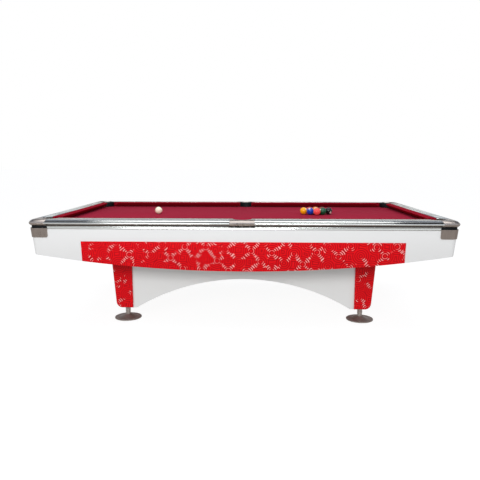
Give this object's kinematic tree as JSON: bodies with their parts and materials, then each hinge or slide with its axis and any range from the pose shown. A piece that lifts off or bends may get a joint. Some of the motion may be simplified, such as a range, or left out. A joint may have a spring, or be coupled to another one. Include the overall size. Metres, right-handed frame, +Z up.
{
  "type": "pocket billiard table",
  "caption": "Nine-foot pocket billiard table with metal rails, six drop pockets, bellied white cabinet, patterned red legs joined by arch panels, levelling feet and a ball set.",
  "frame": {"origin": "on the floor, under the middle of the table", "axes": "+X along the table's length, +Y to the back, +Z up"},
  "size_m": [2.86, 1.59, 0.8155],
  "materials": {
    "bed_cloth": "burgundy worsted billiard cloth, matt",
    "cushion_cloth": "burgundy cloth over firm rubber, matt",
    "slate": null,
    "timber": "planed solid timber, unfinished",
    "rail_metal": "polished anodised aluminium extrusion",
    "cast_metal": "satin polished casting, warm grey",
    "pocket_rubber": "black moulded rubber, matt",
    "white_lacquer": "white lacquered board, satin",
    "red_pattern": "red laminate with a fine pattern of arcs and pale dashes, glossy",
    "zinc_steel": "zinc plated steel",
    "sight_inlay": "pearl white inlay",
    "foot_steel": "turned steel",
    "foot_cast": "grained cast metal, warm grey",
    "cue_ball_resin": "ivory phenolic resin, high gloss",
    "ball_resin": "coloured phenolic resin, high gloss"
  },
  "bodies": {
    "table": {"bed_cloth": "bed_cloth", "slate_left": "slate", "slate_middle": "slate", "slate_right": "slate", "rail_cores": "timber", "rail_cap_front_left": "rail_metal", "rail_cap_front_right": "rail_metal", "rail_cap_back_left": "rail_metal", "rail_cap_back_right": "rail_metal", "rail_cap_left": "rail_metal", "rail_cap_right": "rail_metal", "cushion_front_left": "cushion_cloth", "cushion_front_right": "cushion_cloth", "cushion_back_left": "cushion_cloth", "cushion_back_right": "cushion_cloth", "cushion_left": "cushion_cloth", "cushion_right": "cushion_cloth", "corner_casting_front_left": "cast_metal", "corner_casting_front_right": "cast_metal", "corner_casting_back_left": "cast_metal", "corner_casting_back_right": "cast_metal", "side_casting_front": "cast_metal", "side_casting_back": "cast_metal", "pocket_liner_front_left": "pocket_rubber", "pocket_liner_front_right": "pocket_rubber", "pocket_liner_back_left": "pocket_rubber", "pocket_liner_back_right": "pocket_rubber", "pocket_liner_front": "pocket_rubber", "pocket_liner_back": "pocket_rubber", "lower_castings": "cast_metal", "apron_trims": "rail_metal", "cabinet_front": "white_lacquer", "cabinet_back": "white_lacquer", "cabinet_left": "white_lacquer", "cabinet_right": "white_lacquer", "patterned_panel_front": "red_pattern", "patterned_panel_back": "red_pattern", "frame_beams": "timber", "leg_front_left": "red_pattern", "leg_front_right": "red_pattern", "leg_back_left": "red_pattern", "leg_back_right": "red_pattern", "arch_panel_front": "white_lacquer", "arch_panel_back": "white_lacquer", "end_panels": "white_lacquer", "foot_sockets": "zinc_steel", "sights": "sight_inlay", "rail_bolts": "zinc_steel", "trim_screws": "zinc_steel", "leg_bolts": "zinc_steel"},
    "disc_front_left": {"foot_disc_front_left": "foot_cast"},
    "stem_front_left": {"foot_stem_front_left": "foot_steel"},
    "disc_front_right": {"foot_disc_front_right": "foot_cast"},
    "stem_front_right": {"foot_stem_front_right": "foot_steel"},
    "disc_back_left": {"foot_disc_back_left": "foot_cast"},
    "stem_back_left": {"foot_stem_back_left": "foot_steel"},
    "disc_back_right": {"foot_disc_back_right": "foot_cast"},
    "stem_back_right": {"foot_stem_back_right": "foot_steel"},
    "cue_ball": {"cue_ball": "cue_ball_resin"},
    "object_balls": {"object_balls": "ball_resin"}
  },
  "joints": [
    {"name": "foot_height_front_left", "type": "slide", "parent": "table", "child": "disc_front_left", "axis": [0, 0, 1], "range_m": [0, 0.03]},
    {"name": "stem_turn_front_left", "type": "hinge", "parent": "disc_front_left", "child": "stem_front_left", "pos_m": [-0.88, -0.35, 0.03], "axis": [0, 0, 1], "range_deg": [0, 2700]},
    {"name": "foot_height_front_right", "type": "slide", "parent": "table", "child": "disc_front_right", "axis": [0, 0, 1], "range_m": [0, 0.03]},
    {"name": "stem_turn_front_right", "type": "hinge", "parent": "disc_front_right", "child": "stem_front_right", "pos_m": [0.88, -0.35, 0.03], "axis": [0, 0, 1], "range_deg": [0, 2700]},
    {"name": "foot_height_back_left", "type": "slide", "parent": "table", "child": "disc_back_left", "axis": [0, 0, 1], "range_m": [0, 0.03]},
    {"name": "stem_turn_back_left", "type": "hinge", "parent": "disc_back_left", "child": "stem_back_left", "pos_m": [-0.88, 0.35, 0.03], "axis": [0, 0, 1], "range_deg": [0, 2700]},
    {"name": "foot_height_back_right", "type": "slide", "parent": "table", "child": "disc_back_right", "axis": [0, 0, 1], "range_m": [0, 0.03]},
    {"name": "stem_turn_back_right", "type": "hinge", "parent": "disc_back_right", "child": "stem_back_right", "pos_m": [0.88, 0.35, 0.03], "axis": [0, 0, 1], "range_deg": [0, 2700]},
    {"name": "cue_ball_lift", "type": "slide", "parent": "table", "child": "cue_ball", "axis": [0, 0, 1], "range_m": [0, 0.12]},
    {"name": "object_balls_lift", "type": "slide", "parent": "table", "child": "object_balls", "axis": [0, 0, 1], "range_m": [0, 0.12]}
  ],
  "couplings": [
    {"joint": "stem_turn_front_left", "follows": "foot_height_front_left", "rad_per_m": 1570.8},
    {"joint": "stem_turn_front_right", "follows": "foot_height_front_right", "rad_per_m": 1570.8},
    {"joint": "stem_turn_back_left", "follows": "foot_height_back_left", "rad_per_m": 1570.8},
    {"joint": "stem_turn_back_right", "follows": "foot_height_back_right", "rad_per_m": 1570.8}
  ]
}
